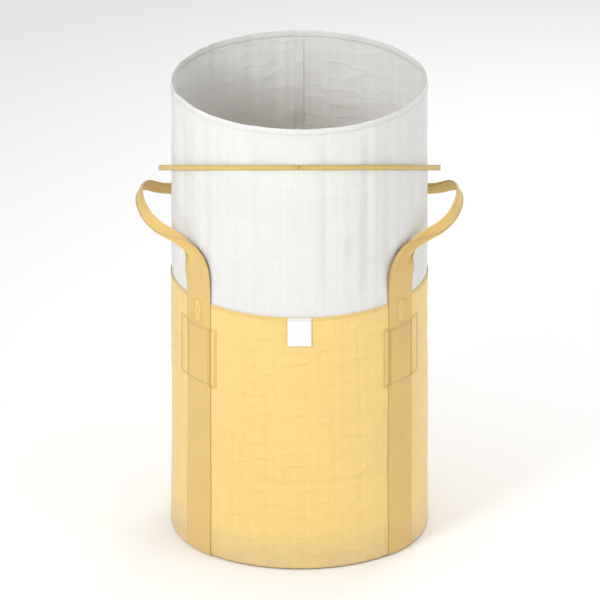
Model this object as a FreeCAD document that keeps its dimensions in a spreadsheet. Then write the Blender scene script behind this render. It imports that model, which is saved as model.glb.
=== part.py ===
"""Round bulk bag (one-tonne flexible container) with two sling belts and two lifting loops.

Millimetres, +Z up.  The origin is on the floor, on the axis of the round base.
The front, with the document label, faces -Y.
"""
import FreeCAD, Part
import math
import os
import Sketcher

V = FreeCAD.Vector

# name, value in mm or degrees, what it is
SIZES = [
    ("bag_radius", 550, "outside of the yellow body cloth"),
    ("body_height", 1175, "floor to the rim, where the skirt is sewn on"),
    ("skirt_height", 875, "rim to the open mouth"),
    ("cloth", 3, "coated woven cloth of the body, seam allowance included"),
    ("base_corner", 15, "rounding where wall meets base"),
    ("base_flange", 55, "seam allowance of the wall, turned in under the base disc"),
    ("skirt_cloth", 1.5, "light cloth of the skirt"),
    ("skirt_tuck", 25, "skirt sewn inside the wall below the rim"),
    ("hem_height", 32, "folded hem round the mouth"),
    ("tape_thickness", 1.5, "seam tapes"),
    ("seam_tape_width", 40, "tape over the upright seams"),
    ("base_tape_height", 25, "binding in the corner between base and wall"),
    ("seam_gap", 0.3, "play between sewn cloth layers"),
    ("belt_width", 161, "sling webbing"),
    ("belt_thickness", 3, "sling webbing"),
    ("leg_azimuth", 52, "middle of each belt leg, from the front or the back centre"),
    ("belt_stub", 45, "belt above the rim before it starts to bend"),
    ("belt_ramp", 9, "length in which a belt climbs over a layer"),
    ("crossing_margin", 5, "round area where the upper belt lies on the lower one, past its corners"),
    ("patch_thickness", 2, "cloth patch under each belt"),
    ("patch_angle", 26.9, "arc of the patch"),
    ("patch_azimuth", 53.7, "middle of the patch, from the front or the back centre"),
    ("patch_low", 387, "lower edge below the rim"),
    ("patch_high", 112, "upper edge below the rim"),
    ("tack_width", 50, "small patch sewn over the belt at the rim"),
    ("tack_height", 102, "small patch, downward from the rim"),
    ("tack_thickness", 1.5, "small patch"),
    ("loop_out", 137, "how far the top of a lifting loop stands out past the wall"),
    ("loop_rise", 339, "rim to the top of the lifting loop"),
    ("grip_width", 52, "webbing folded in three at the top of the loop"),
    ("grip_thickness", 9, "webbing folded in three at the top of the loop"),
    ("label_width", 103, "document label"),
    ("label_height", 130, "document label, header included"),
    ("label_thickness", 1, "document label"),
    ("label_header", 14, "sewn strip along the top of the label"),
    ("tie_width", 24, "flat closing tie"),
    ("tie_thickness", 2, "flat closing tie"),
    ("tie_out", 56, "how far the slack of the tie stands out past the wall"),
    ("tie_height", 465, "rim to the tie at the sides"),
    ("tie_slope", 23.1, "how steeply the tie climbs to the front centre, degrees"),
]

doc = FreeCAD.newDocument("bulk_bag")
sheet = doc.addObject("Spreadsheet::Sheet", "Sizes")
for row, (alias, value, note) in enumerate(SIZES, start=1):
    sheet.set("A%d" % row, alias)
    sheet.set("B%d" % row, str(value))
    sheet.set("C%d" % row, note)
    sheet.setAlias("B%d" % row, alias)
doc.recompute()

nodes = []


def size(formula):
    """Value of a formula written in sheet names."""
    return float(sheet.evalExpression(formula))


def in_sheet(formula):
    """The same formula as other objects must write it."""
    for alias, _, _ in SIZES:
        formula = formula.replace("{%s}" % alias, "Sizes.%s" % alias)
    return formula


def value(formula):
    """Value of a formula whose sheet names stand in braces."""
    for alias, _, _ in SIZES:
        formula = formula.replace("{%s}" % alias, alias)
    return size(formula)


def plane_of(body, role):
    """One of the body's own origin planes."""
    return [f for f in body.Origin.OriginFeatures if f.Role == role][0]


def outline(body, name, corners):
    """Closed sketch on the XZ plane: radius across, height up, each corner driven by the sheet."""
    sketch = body.newObject("Sketcher::SketchObject", name)
    sketch.AttachmentSupport = [(plane_of(body, "XZ_Plane"), "")]
    sketch.MapMode = "FlatFace"
    at = [V(value(r), value(z), 0) for r, z in corners]
    count = len(at)
    for i in range(count):
        sketch.addGeometry(Part.LineSegment(at[i], at[(i + 1) % count]), False)
    for i in range(count):
        sketch.addConstraint(Sketcher.Constraint("Coincident", i, 2, (i + 1) % count, 1))
    for i, (r, z) in enumerate(corners):
        for kind, formula, number, axis in (("DistanceX", r, at[i].x, -2), ("DistanceY", z, at[i].y, -1)):
            if abs(number) < 1e-9:
                sketch.addConstraint(Sketcher.Constraint("PointOnObject", i, 1, axis))
                continue
            index = sketch.addConstraint(Sketcher.Constraint(kind, -1, 1, i, 1, number))
            sketch.setExpression("Constraints[%d]" % index, in_sheet(formula))
    return sketch


def turned(name, corners, angle=None, azimuth=None):
    """Body turned about the bag's axis: a full ring, or an arc centred on an azimuth."""
    body = doc.addObject("PartDesign::Body", name)
    sketch = outline(body, name + "_outline", corners)
    turn = body.newObject("PartDesign::Revolution", name + "_turn")
    turn.Profile = sketch
    turn.ReferenceAxis = (sketch, ["V_Axis"])
    turn.Angle = 360
    if angle:
        turn.Midplane = True
        turn.setExpression("Angle", in_sheet(angle))
    sketch.Visibility = False
    if azimuth:
        body.Placement = FreeCAD.Placement(V(0, 0, 0), V(0, 0, 1), value(azimuth))
        body.setExpression("Placement.Rotation.Angle", in_sheet(azimuth))
    doc.recompute()
    return body


def round_edges(body, name, rounds):
    """Fillet the circular edges lying at the given (radius, height), each with its own rounding."""
    for number, (r, z, rounding) in enumerate(rounds):
        feature = body.Tip
        found = []
        for i, edge in enumerate(feature.Shape.Edges, start=1):
            box = edge.BoundBox
            flat = box.ZLength < 1e-6 and abs(box.ZMin - value(z)) < 1e-4
            if flat and abs(box.XMax - value(r)) < 1e-3 and abs(box.XMin + value(r)) < 1e-3:
                found.append("Edge%d" % i)
        fillet = body.newObject("PartDesign::Fillet", "%s_round_%d" % (name, number))
        fillet.Base = (feature, found)
        fillet.setExpression("Radius", in_sheet(rounding))
        body.Tip = fillet
        doc.recompute()


def keep(obj, name):
    """Take an object as a finished piece."""
    obj.Label = name
    nodes.append(obj)
    return obj


def ring(name, inner, outer, low, high, angle=None, azimuth=None):
    """Ring or arc of rectangular section."""
    corners = [(inner, low), (outer, low), (outer, high), (inner, high)]
    return keep(turned(name, corners, angle, azimuth), name)


# ---- cloth body -------------------------------------------------------------------------

WALL_IN = "{bag_radius} - {cloth}"
BASE_LOW = "{belt_thickness}"
FLANGE_TOP = "{belt_thickness} + {cloth}"
BASE_TOP = "{belt_thickness} + 2 * {cloth}"
RIM = "{body_height}"

wall = turned("body_wall", [
    ("{bag_radius} - {base_flange}", BASE_LOW),
    ("{bag_radius}", BASE_LOW),
    ("{bag_radius}", RIM),
    (WALL_IN, RIM),
    (WALL_IN, FLANGE_TOP),
    ("{bag_radius} - {base_flange}", FLANGE_TOP),
])
round_edges(wall, "body_wall", [
    ("{bag_radius}", BASE_LOW, "{base_corner}"),
    (WALL_IN, FLANGE_TOP, "{base_corner} - {cloth}"),
])
keep(wall, "body_wall")

BASE_EDGE = "{bag_radius} - {base_corner} - {seam_gap}"
base = turned("base_panel", [
    ("0", FLANGE_TOP),
    (BASE_EDGE, FLANGE_TOP),
    (BASE_EDGE, BASE_TOP),
    ("0", BASE_TOP),
])
keep(base, "base_panel")
ring("base_seam_tape", BASE_EDGE + " - 2 * {tape_thickness}", BASE_EDGE,
     BASE_TOP, BASE_TOP + " + {base_tape_height}")
SKIRT_LOW = "{body_height} - {skirt_tuck}"
ring("body_back_seam", WALL_IN + " - {tape_thickness}", WALL_IN,
     BASE_TOP + " + {base_tape_height} + 5", SKIRT_LOW + " - 5",
     "{seam_tape_width} / {bag_radius} * 180 / pi", "90")

# ---- skirt ------------------------------------------------------------------------------

SKIRT_OUT = WALL_IN
SKIRT_IN = "{bag_radius} - {cloth} - {skirt_cloth}"
MOUTH = "{body_height} + {skirt_height}"
HEM_LOW = "{body_height} + {skirt_height} - {hem_height}"
ring("top_skirt", SKIRT_IN, SKIRT_OUT, SKIRT_LOW, HEM_LOW + " - {seam_gap}")
ring("mouth_hem", SKIRT_IN + " - {skirt_cloth}", SKIRT_OUT + " + {skirt_cloth} - 0.5", HEM_LOW, MOUTH)
ring("rim_seam_tape", SKIRT_IN + " - {tape_thickness}", SKIRT_IN, SKIRT_LOW, RIM)
ring("skirt_back_seam", SKIRT_IN + " - {tape_thickness}", SKIRT_IN,
     RIM + " + 5", HEM_LOW + " - 5", "{seam_tape_width} / {bag_radius} * 180 / pi", "90")

# ---- sling belts ------------------------------------------------------------------------

PATCH_OUT = "{bag_radius} + {patch_thickness}"
PATCH_LOW = "{body_height} - {patch_low}"
PATCH_HIGH = "{body_height} - {patch_high}"
STUB_TOP = "{body_height} + {belt_stub}"


def belt_shell(name, base_corners_out, base_corners_in):
    """Cup of webbing thickness round the whole bag, from which one belt is taken."""
    def side(radius):
        """Heights at which a belt face climbs over the patch and comes back."""
        return [
            (radius, PATCH_LOW + " - {belt_ramp}"),
            (radius + " + {patch_thickness}", PATCH_LOW),
            (radius + " + {patch_thickness}", PATCH_HIGH),
            (radius, PATCH_HIGH + " + {belt_ramp}"),
            (radius, STUB_TOP),
        ]
    inner = "{bag_radius}"
    outer = "{bag_radius} + {belt_thickness}"
    corners = base_corners_out + [(outer, "0")] + side(outer)
    corners += side(inner)[::-1] + [(inner, BASE_LOW)] + base_corners_in
    shell = turned(name, corners)
    round_edges(shell, name, [
        (outer, "0", "{base_corner} + {belt_thickness}"),
        (inner, BASE_LOW, "{base_corner}"),
    ])
    return shell


def belt(name, shell, azimuth):
    """Straight strip of the cup, as wide as the webbing, through the axis of the bag."""
    strip = doc.addObject("Part::Box", name + "_strip")
    strip.setExpression("Length", "2.4 * Sizes.bag_radius")
    strip.setExpression("Width", "Sizes.belt_width")
    strip.setExpression("Height", in_sheet(STUB_TOP + " + 10"))
    turn = math.radians(value(azimuth))
    half = V(size("1.2 * bag_radius"), size("belt_width / 2"), 0)
    corner = V(-half.x * math.cos(turn) + half.y * math.sin(turn),
               -half.x * math.sin(turn) - half.y * math.cos(turn), -5)
    strip.Placement = FreeCAD.Placement(corner, FreeCAD.Rotation(V(0, 0, 1), value(azimuth)))
    common = doc.addObject("Part::Common", name)
    common.Base = shell
    common.Tool = strip
    doc.recompute()
    return keep(common, name)


# the belts cross in a rhombus, and its long corners set how far the upper belt stays up
CROSSING = "{belt_width} / 2 / cos({leg_azimuth}) + {crossing_margin}"
CROSSING_FOOT = CROSSING + " + {belt_ramp}"

belt("sling_belt_a", belt_shell("belt_shell_a", [("0", "0")], [("0", BASE_LOW)]),
     "90 - {leg_azimuth}")
belt("sling_belt_b", belt_shell(
    "belt_shell_b",
    [("0", BASE_LOW), (CROSSING, BASE_LOW), (CROSSING_FOOT, "0")],
    [(CROSSING_FOOT, BASE_LOW),
     (CROSSING, "2 * {belt_thickness}"),
     ("0", "2 * {belt_thickness}")]),
    "{leg_azimuth} - 90")

# corner name, sign of X, sign of Y (the front is -Y)
CORNERS = [
    ("front_left", -1, -1),
    ("front_right", 1, -1),
    ("rear_left", -1, 1),
    ("rear_right", 1, 1),
]


def corner_azimuth(from_front, side, end):
    """Angle about Z, from +X, of a place given from the front or back centre."""
    if side > 0:
        return "%d * (90 - %s)" % (end, from_front)
    return "180 - %d * (90 - %s)" % (end, from_front)


BELT_OUT = "{bag_radius} + {belt_thickness}"
for corner, side, end in CORNERS:
    ring("belt_patch_" + corner, "{bag_radius}", PATCH_OUT, PATCH_LOW, PATCH_HIGH,
         "{patch_angle}", corner_azimuth("{patch_azimuth}", side, end))
    ring("belt_tack_" + corner, BELT_OUT, BELT_OUT + " + {tack_thickness}",
         "{body_height} - {tack_height}", RIM,
         "{tack_width} / {bag_radius} * 180 / pi", corner_azimuth("{leg_azimuth}", side, end))

# ---- lifting loops ----------------------------------------------------------------------

rim = size("body_height")
leg_turn = math.radians(size("leg_azimuth"))
leg_radius = size("bag_radius + belt_thickness / 2 + 0.7")
leg_x = leg_radius * math.sin(leg_turn)
leg_y = leg_radius * math.cos(leg_turn)
belt_width = size("belt_width")
belt_thickness = size("belt_thickness")
grip_width = size("grip_width")
grip_thickness = size("grip_thickness")
reach = size("bag_radius + loop_out") - leg_x
rise = size("loop_rise")

# Run of the webbing in the loop at +X, from its rear leg to the top of the loop, as shares of
# the loop's reach, of the leg's distance to the back and of the rise; then width, thickness and
# the direction of the width.
NECK_RUN = [
    (0, 1, size("belt_stub / loop_rise"), belt_width, belt_thickness, V(0.616, -0.788, 0)),
    (0, 1, 0.28, belt_width, belt_thickness, V(0.62, -0.785, -0.02)),
    (0.02, 1, 0.42, 0.98 * belt_width, belt_thickness, V(0.65, -0.73, -0.16)),
    (0.09, 0.985, 0.62, 0.83 * belt_width, 1.2 * belt_thickness, V(0.60, -0.55, -0.58)),
    (0.24, 0.86, 0.72, 0.56 * belt_width, 1.8 * belt_thickness, V(0.40, -0.28, -0.87)),
]
LOOP_RUN = [
    (0.44, 0.745, 0.768, 1.17 * grip_width, 0.87 * grip_thickness, V(0.42, -0.05, -0.90)),
    (0.66, 0.64, 0.822, 1.04 * grip_width, grip_thickness, V(0.48, 0.08, -0.87)),
    (0.86, 0.51, 0.92, grip_width, grip_thickness, V(0.45, 0.05, -0.89)),
    (0.965, 0.27, 0.98, grip_width, grip_thickness, V(0.45, 0, -0.89)),
    (1, 0, 1, grip_width, grip_thickness, V(0.45, 0, -0.89)),
]


RUN = NECK_RUN + LOOP_RUN
SPLIT = len(NECK_RUN) - 1


def both_halves(run):
    """Run continued past the top of the loop, down to the other leg."""
    back = [(x, -y, z, w, t, V(u.x, -u.y, u.z)) for x, y, z, w, t, u in run[-2::-1]]
    return run + back


def strap_sections(run):
    """Closed rectangular sections across the webbing, and its direction, at each point of its run."""
    middles = [V(leg_x + x * reach, y * leg_y, rim + z * rise) for x, y, z, _, _, _ in run]
    sections = []
    for i, (_, _, _, width, thickness, across) in enumerate(run):
        along = middles[min(i + 1, len(run) - 1)] - middles[max(i - 1, 0)]
        along.normalize()
        across = across - along * across.dot(along)
        across.normalize()
        outward = across.cross(along)
        half_w = across * (width / 2)
        half_t = outward * (thickness / 2)
        corners = [middles[i] + half_w + half_t, middles[i] + half_w - half_t,
                   middles[i] - half_w - half_t, middles[i] - half_w + half_t]
        sections.append((Part.makePolygon(corners + corners[:1]), along))
    return sections


def strap(name, sections, turn=0, flip=False):
    """Webbing lofted through sections; the other loop and legs are turned or mirrored copies."""
    shape = Part.makeLoft([wire for wire, _ in sections], True, False)
    if flip:
        shape = shape.mirror(V(0, 0, 0), V(0, 1, 0))
    feature = doc.addObject("Part::Feature", name)
    feature.Shape = shape
    feature.Placement = FreeCAD.Placement(V(0, 0, 0), FreeCAD.Rotation(V(0, 0, 1), turn))
    return keep(feature, name)


SECTIONS = strap_sections(both_halves(RUN))
neck = SECTIONS[:SPLIT + 1]
loop = SECTIONS[SPLIT:len(SECTIONS) - SPLIT]

# the loop starts a little past the end of each neck
first, along = loop[0]
last, onward = loop[-1]
gap = size("seam_gap")
loop[0] = (first.translated(along * gap), along)
loop[-1] = (last.translated(onward * -gap), onward)

strap("right_loop", loop)
strap("left_loop", loop, 180)
strap("right_loop_rear_neck", neck)
strap("right_loop_front_neck", neck, 0, True)
strap("left_loop_front_neck", neck, 180)
strap("left_loop_rear_neck", neck, 180, True)

# ---- document label ---------------------------------------------------------------------


def label_piece(name, thickness, low, high):
    """Flat rectangle in front of the wall, hanging below the rim."""
    body = doc.addObject("PartDesign::Body", name)
    half = "{label_width} / 2"
    sketch = outline(body, name + "_outline", [
        ("-" + half, low), (half, low), (half, high), ("-" + half, high)])
    pad = body.newObject("PartDesign::Pad", name + "_pad")
    pad.Profile = sketch
    pad.setExpression("Length", in_sheet(thickness))
    body.Placement = FreeCAD.Placement(V(0, -value("{bag_radius} + 0.4"), 0), FreeCAD.Rotation())
    body.setExpression("Placement.Base.y", in_sheet("-({bag_radius} + 0.4)"))
    sketch.Visibility = False
    doc.recompute()
    return keep(body, name)


label_piece("label_header", "{label_thickness}", "{body_height} - {label_header}", RIM)
label_piece("label", "{label_thickness}", "{body_height} - {label_height}",
            "{body_height} - {label_header} - {seam_gap}")

# ---- closing tie ------------------------------------------------------------------------

tie_radius = size("bag_radius - 0.5")
tie_reach = size("bag_radius + tie_out")
tie_height = size("tie_height")
tie_rise = math.tan(math.radians(size("tie_slope")))
TIE_STEP = 26
corner_radius = tie_radius / math.cos(math.radians(TIE_STEP / 2))


def on_skirt(azimuth, z):
    """Corner of the tie's route close round the skirt; azimuth from the front centre."""
    turn = math.radians(azimuth)
    return V(corner_radius * math.sin(turn), -corner_radius * math.cos(turn), z)


def falling(x, y):
    """Corner of the route on the slope from the front centre down past the side."""
    return V(x, y, tie_height - y * tie_rise)


def front_corner(azimuth):
    """Corner close round the skirt and on the slope."""
    place = on_skirt(azimuth, 0)
    return falling(place.x, place.y)


# sewn on at the front centre, slack at the side, sewn on again at the back centre
TIE_ROUTE = [
    falling(0, -tie_radius),
    front_corner(0.5 * TIE_STEP),
    front_corner(1.5 * TIE_STEP),
    front_corner(2.35 * TIE_STEP),
    falling(0.930 * tie_reach, -0.215 * tie_reach),
    falling(tie_reach, -0.017 * tie_reach),
    falling(0.987 * tie_reach, 0.099 * tie_reach),
    falling(0.934 * tie_reach, 0.195 * tie_reach),
    on_skirt(115, tie_height - 71),
    on_skirt(141, tie_height - 56),
    on_skirt(167, tie_height - 40),
    V(0, tie_radius, tie_height - 36),
]


def rounded_path(points, name):
    """Straight runs joined by tangent arcs, each as large as its two runs allow."""
    edges = []
    radii = []
    start = points[0]
    for before, here, after in zip(points, points[1:], points[2:]):
        back = before - here
        ahead = after - here
        run = min(back.Length, ahead.Length)
        half_turn = (math.pi - back.getAngle(ahead)) / 2
        radius = 0.45 * run / math.tan(half_turn)
        radii.append(radius)
        back.normalize()
        ahead.normalize()
        cut = 0.45 * run
        first = here + back * cut
        last = here + ahead * cut
        inward = back + ahead
        inward.normalize()
        middle = here + inward * (radius / math.cos(half_turn) - radius)
        edges.append(Part.makeLine(start, first))
        edges.append(Part.Arc(first, middle, last).toShape())
        start = last
    edges.append(Part.makeLine(start, points[-1]))
    wire = Part.Wire(edges)
    print("%s: length %.0f, bend radii %s" % (name, wire.Length, ["%.0f" % r for r in radii]))
    return wire


def tape(name, points, flip):
    """Flat tape swept along its route with its width kept upright."""
    path = rounded_path(points, name)
    width = size("tie_width")
    thickness = size("tie_thickness")
    first = points[0]
    corners = [V(first.x, first.y + dy * thickness / 2, first.z + dz * width / 2)
               for dy, dz in ((-1, -1), (1, -1), (1, 1), (-1, 1))]
    section = Part.makePolygon(corners + corners[:1])
    sweep = Part.BRepOffsetAPI.MakePipeShell(path)
    sweep.setBiNormalMode(V(0, 0, 1))
    sweep.setTransitionMode(0)
    sweep.add(section)
    sweep.build()
    sweep.makeSolid()
    shape = sweep.shape()
    print("%s: volume %.0f, section times length %.0f" % (name, shape.Volume, width * thickness * path.Length))
    if flip:
        shape = shape.mirror(V(0, 0, 0), V(1, 0, 0))
    feature = doc.addObject("Part::Feature", name)
    feature.Shape = shape
    feature.Placement = FreeCAD.Placement()
    return keep(feature, name)


tie_points = [V(p.x, p.y, rim + p.z) for p in TIE_ROUTE]
tape("closing_tie_right", tie_points, False)
tape("closing_tie_left", tie_points, True)

# ---- check and write --------------------------------------------------------------------

doc.recompute()
for obj in doc.Objects:
    if "Invalid" in obj.State or "Error" in obj.State:
        raise SystemExit("%s: %s" % (obj.Label, obj.State))
os.makedirs("parts", exist_ok=True)
for node in nodes:
    shape = node.Shape
    if shape.isNull() or not shape.isValid() or len(shape.Solids) != 1:
        raise SystemExit("%s is not one valid solid" % node.Label)
    shape.exportStep("parts/%s.step" % node.Label)
print("%d nodes written" % len(nodes))
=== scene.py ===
"""Looks for the round bulk bag: woven cloth, webbing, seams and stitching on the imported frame.

Metres throughout. Azimuths count from the front centre (-Y) toward +X. A share is 0 to 1.
"""
import math

import bpy
import numpy as np
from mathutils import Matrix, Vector


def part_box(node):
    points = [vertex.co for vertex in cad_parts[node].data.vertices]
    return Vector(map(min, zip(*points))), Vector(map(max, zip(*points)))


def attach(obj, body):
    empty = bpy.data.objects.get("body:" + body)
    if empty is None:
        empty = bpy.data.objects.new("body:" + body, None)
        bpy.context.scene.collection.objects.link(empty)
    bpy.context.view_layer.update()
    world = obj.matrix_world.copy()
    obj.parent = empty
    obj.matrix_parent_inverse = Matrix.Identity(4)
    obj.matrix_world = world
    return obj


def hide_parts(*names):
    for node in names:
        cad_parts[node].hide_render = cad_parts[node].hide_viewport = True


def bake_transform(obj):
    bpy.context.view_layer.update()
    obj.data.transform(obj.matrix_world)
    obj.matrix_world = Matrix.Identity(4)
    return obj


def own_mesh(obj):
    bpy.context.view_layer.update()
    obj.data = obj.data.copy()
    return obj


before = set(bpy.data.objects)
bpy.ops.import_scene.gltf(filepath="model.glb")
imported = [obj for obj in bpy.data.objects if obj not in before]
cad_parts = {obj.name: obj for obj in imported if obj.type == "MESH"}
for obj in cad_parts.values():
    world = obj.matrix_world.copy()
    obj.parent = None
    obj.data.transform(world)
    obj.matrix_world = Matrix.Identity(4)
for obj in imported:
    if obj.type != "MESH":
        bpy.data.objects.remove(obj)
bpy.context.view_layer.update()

# ---- sizes, from the frame ----

X, Y, Z = 0, 1, 2


def least(node, axis=Z):
    """Lowest coordinate of a node at rest."""
    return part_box(node)[0][axis]


def most(node, axis=Z):
    """Highest coordinate of a node at rest."""
    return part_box(node)[1][axis]


R = most("body_wall", X)
WALL_LOW = least("body_wall")
RIM = most("body_wall")
MOUTH = most("mouth_hem")
HEM_LOW = least("mouth_hem")
SKIRT_R = most("top_skirt", X)
SKIRT_LOW = least("top_skirt")
STUB_TOP = most("sling_belt_a")
PATCH_LOW = least("belt_patch_front_left")
PATCH_HIGH = most("belt_patch_front_left")
TACK_LOW = least("belt_tack_front_left")
LABEL_LOW = least("label")
LABEL_TOP = most("label")
LABEL_HALF = most("label", X)

BELT_W = 0.161          # sling webbing
BELT_T = 0.003
PATCH_T = 0.002
LEG_AZIMUTH = math.radians(52)      # belt leg, from the front or the back centre
PATCH_AZIMUTH = math.radians(53.7)
PATCH_ARC = math.radians(26.9)
TACK_ARC = 0.050 / R
CORNER = 0.018          # rounding of the belts where the wall meets the base
CROSS_R = BELT_W / 2 / math.cos(LEG_AZIMUTH) + 0.005
RAMP = 0.009            # length over which a belt climbs one thickness
TIE_W = 0.024
TIE_T = 0.002

# thickness of what is seen
BODY_CLOTH_T = 0.0012
SKIRT_CLOTH_T = 0.0006
WEBBING_T = 0.0026
TAPE_T = 0.0010
PATCH_CLOTH_T = 0.0013
LEAF_T = 0.0005
STRIP_T = 0.0009
SKIN = 0.0001           # keeps a piece just clear of what it lies on

FINE_STITCH = {"length": 0.004, "gap": 0.002, "width": 0.001}

# left and right, front (-Y) and rear
CORNERS = [("front_left", -1, -1), ("front_right", 1, -1),
           ("rear_left", -1, 1), ("rear_right", 1, 1)]

# ---- shader helpers ----

YELLOW = (0.93, 0.66, 0.225)
BELT_YELLOW = (0.90, 0.61, 0.19)
TAPE_YELLOW = (0.91, 0.63, 0.20)
WHITE = (0.90, 0.90, 0.88)
FILM_WHITE = (0.84, 0.84, 0.83)
OCHRE = (0.30, 0.165, 0.035)
PALE = (0.62, 0.60, 0.55)
DUST = (0.50, 0.42, 0.28, 1)
DUST_RISE = 5.5         # dust ends 1 / 5.5 m above the floor
PLASTIC_IOR = 1.49
WEAVE_SHIFT = 5000.0    # tapes counted from here, so that no count is negative
# soft ridges in the cloth: stretch of the pattern, its scale, depth
CRUMPLES = (((1.0, 2.1, 1), 4.0, 0.0050), ((2.0, 1.0, 1), 7.0, 0.0028))


class Nodes:
    """Short calls for building a node tree."""

    def __init__(self, tree):
        self.tree = tree

    def new(self, kind, **settings):
        node = self.tree.nodes.new(kind)
        for name, value in settings.items():
            setattr(node, name, value)
        return node

    def put(self, value, socket):
        """A number, a colour or another node's output goes into a socket."""
        if isinstance(value, bpy.types.NodeSocket):
            self.tree.links.new(value, socket)
        else:
            socket.default_value = value

    def math(self, operation, a, b=0.0, c=0.0):
        node = self.new("ShaderNodeMath", operation=operation)
        for value, socket in zip((a, b, c), node.inputs):
            self.put(value, socket)
        return node.outputs[0]

    def plus(self, a, b):
        return self.math("ADD", a, b)

    def minus(self, a, b):
        return self.math("SUBTRACT", a, b)

    def times(self, a, b):
        return self.math("MULTIPLY", a, b)

    def power(self, a, b):
        return self.math("POWER", a, b)

    def magnitude(self, a):
        return self.math("ABSOLUTE", a)

    def spread(self, value, low, high):
        """Value from 0..1 moved to low..high."""
        return self.math("MULTIPLY_ADD", value, high - low, low)

    def noise(self, where, scale, detail=3.0, roughness=0.5):
        node = self.new("ShaderNodeTexNoise")
        self.put(where, node.inputs["Vector"])
        set_inputs(node, scale=scale, detail=detail, roughness=roughness)
        return node.outputs["Fac"]

    def scaled(self, where, factors):
        node = self.new("ShaderNodeVectorMath", operation="MULTIPLY")
        self.put(where, node.inputs[0])
        node.inputs[1].default_value = factors
        return node.outputs[0]

    def split(self, where):
        """First two coordinates of a place."""
        node = self.new("ShaderNodeSeparateXYZ")
        self.put(where, node.inputs[0])
        return node.outputs[0], node.outputs[1]

    def tint(self, factor, dark, light):
        node = self.new("ShaderNodeMix", data_type="RGBA")
        self.put(factor, node.inputs["Factor"])
        self.put(dark, node.inputs["A"])
        self.put(light, node.inputs["B"])
        return node.outputs["Result"]


def shade(colour, factor):
    """Colour made darker or lighter, opaque."""
    return (colour[0] * factor, colour[1] * factor, colour[2] * factor, 1.0)


def start_material(name):
    """New material, its helper, its surface shader and the cloth coordinates in metres."""
    material = bpy.data.materials.new(name)
    material.use_nodes = True
    n = Nodes(material.node_tree)
    surface = material.node_tree.nodes["Principled BSDF"]
    where = n.new("ShaderNodeUVMap", uv_map="cloth").outputs[0]
    return material, n, surface, where


def set_inputs(node, **settings):
    """Sets sockets of a node: coat_weight stands for its socket Coat Weight."""
    for name, value in settings.items():
        title = "IOR" if name == "ior" else name.replace("_", " ").title()
        node.inputs[title].default_value = value


def bump(n, surface, height, distance, strength):
    node = n.new("ShaderNodeBump")
    set_inputs(node, strength=strength, distance=distance)
    n.put(height, node.inputs["Height"])
    n.put(node.outputs[0], surface.inputs["Normal"])


def weave_height(n, where, pitch):
    """Plain weave of flat tapes: how high the cloth stands, and a random number per tape."""
    cells = n.split(n.scaled(where, (1 / pitch, 1 / pitch, 1)))
    u, v = [n.plus(cell, WEAVE_SHIFT) for cell in cells]
    across_u, across_v = [n.magnitude(n.minus(n.math("FRACT", cell), 0.5)) for cell in (u, v)]
    row_u, row_v = n.math("FLOOR", u), n.math("FLOOR", v)
    over = n.math("MODULO", n.plus(row_u, row_v), 2.0)

    def tape(across, along):
        """Flat in the middle, round at the edges, dipping where it goes under."""
        flat = n.minus(1.0, n.power(n.times(across, 2.0), 5.0))
        dip = n.minus(1.0, n.times(n.power(n.times(along, 2.0), 2.0), 0.45))
        return n.times(flat, dip)

    def pick(first, second):
        """First where the upright tape lies on top, second elsewhere."""
        return n.plus(n.times(over, first), n.times(n.minus(1.0, over), second))

    tape_random = []
    for row, seed in ((row_u, 3.1), (row_v, 8.7)):
        white = n.new("ShaderNodeTexWhiteNoise", noise_dimensions="1D")
        n.put(n.plus(row, seed), white.inputs["W"])
        tape_random.append(white.outputs["Value"])
    return pick(tape(across_u, across_v), tape(across_v, across_u)), pick(*tape_random)


def cloth_material(name, colour, pitch, relief, roughness, coat, sheen, crumple,
                   translucent=0.0, dusty=False):
    """Flat-tape polypropylene cloth: weave with painted shade where the tapes dip, tapes of uneven
    colour, soft creases, light dust.
    """
    material, n, surface, where = start_material(name)
    height, tape = weave_height(n, where, pitch)
    cloudy = n.noise(where, 2.6, 4)
    streaks = n.noise(n.scaled(where, (38, 1.6, 1)), 1.0, 2)
    tone = n.plus(n.times(cloudy, 0.45), n.times(streaks, 0.25))
    tone = n.plus(tone, n.times(tape, 0.30))
    base = n.tint(tone, shade(colour, 0.86), shade(colour, 1.10))
    # painted shade: the cloth is darkened where the tapes dip and at their edges, in the hollows
    # of the weave
    base = n.tint(n.times(n.minus(1.0, height), 0.30), base, shade(colour, 0.55))
    if dusty:
        up = n.split(where)[1]
        near_floor = n.math("MAXIMUM", n.minus(1.0, n.times(up, DUST_RISE)), 0.0)
        patchy = n.times(near_floor, n.spread(n.noise(where, 9.0, 5), 0.0, 0.8))
        base = n.tint(n.math("MINIMUM", patchy, 0.4), base, DUST)
    n.put(base, surface.inputs["Base Color"])
    n.put(n.plus(n.times(n.noise(where, 7.0, 3), 0.16), roughness - 0.08),
          surface.inputs["Roughness"])
    stands = n.plus(n.times(height, relief), n.times(n.noise(where, 13.0, 4), 0.0045))
    for stretch, scale, depth in CRUMPLES:
        swell = n.noise(n.scaled(where, stretch), scale, 2, 0.45)
        ridge = n.minus(1.0, n.magnitude(n.math("MULTIPLY_ADD", swell, 2.0, -1.0)))
        stands = n.plus(stands, n.times(n.power(ridge, 7.0), depth * crumple))
    bump(n, surface, stands, 1.0, 0.8)
    set_inputs(surface, coat_weight=coat, coat_roughness=0.35, sheen_weight=sheen,
               sheen_roughness=0.5, ior=PLASTIC_IOR)
    if translucent:
        through = n.new("ShaderNodeBsdfTranslucent")
        n.put(base, through.inputs["Color"])
        mixed = n.new("ShaderNodeMixShader")
        mixed.inputs["Fac"].default_value = translucent
        n.put(surface.outputs[0], mixed.inputs[1])
        n.put(through.outputs[0], mixed.inputs[2])
        n.put(mixed.outputs[0], material.node_tree.nodes["Material Output"].inputs["Surface"])
    return material


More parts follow.
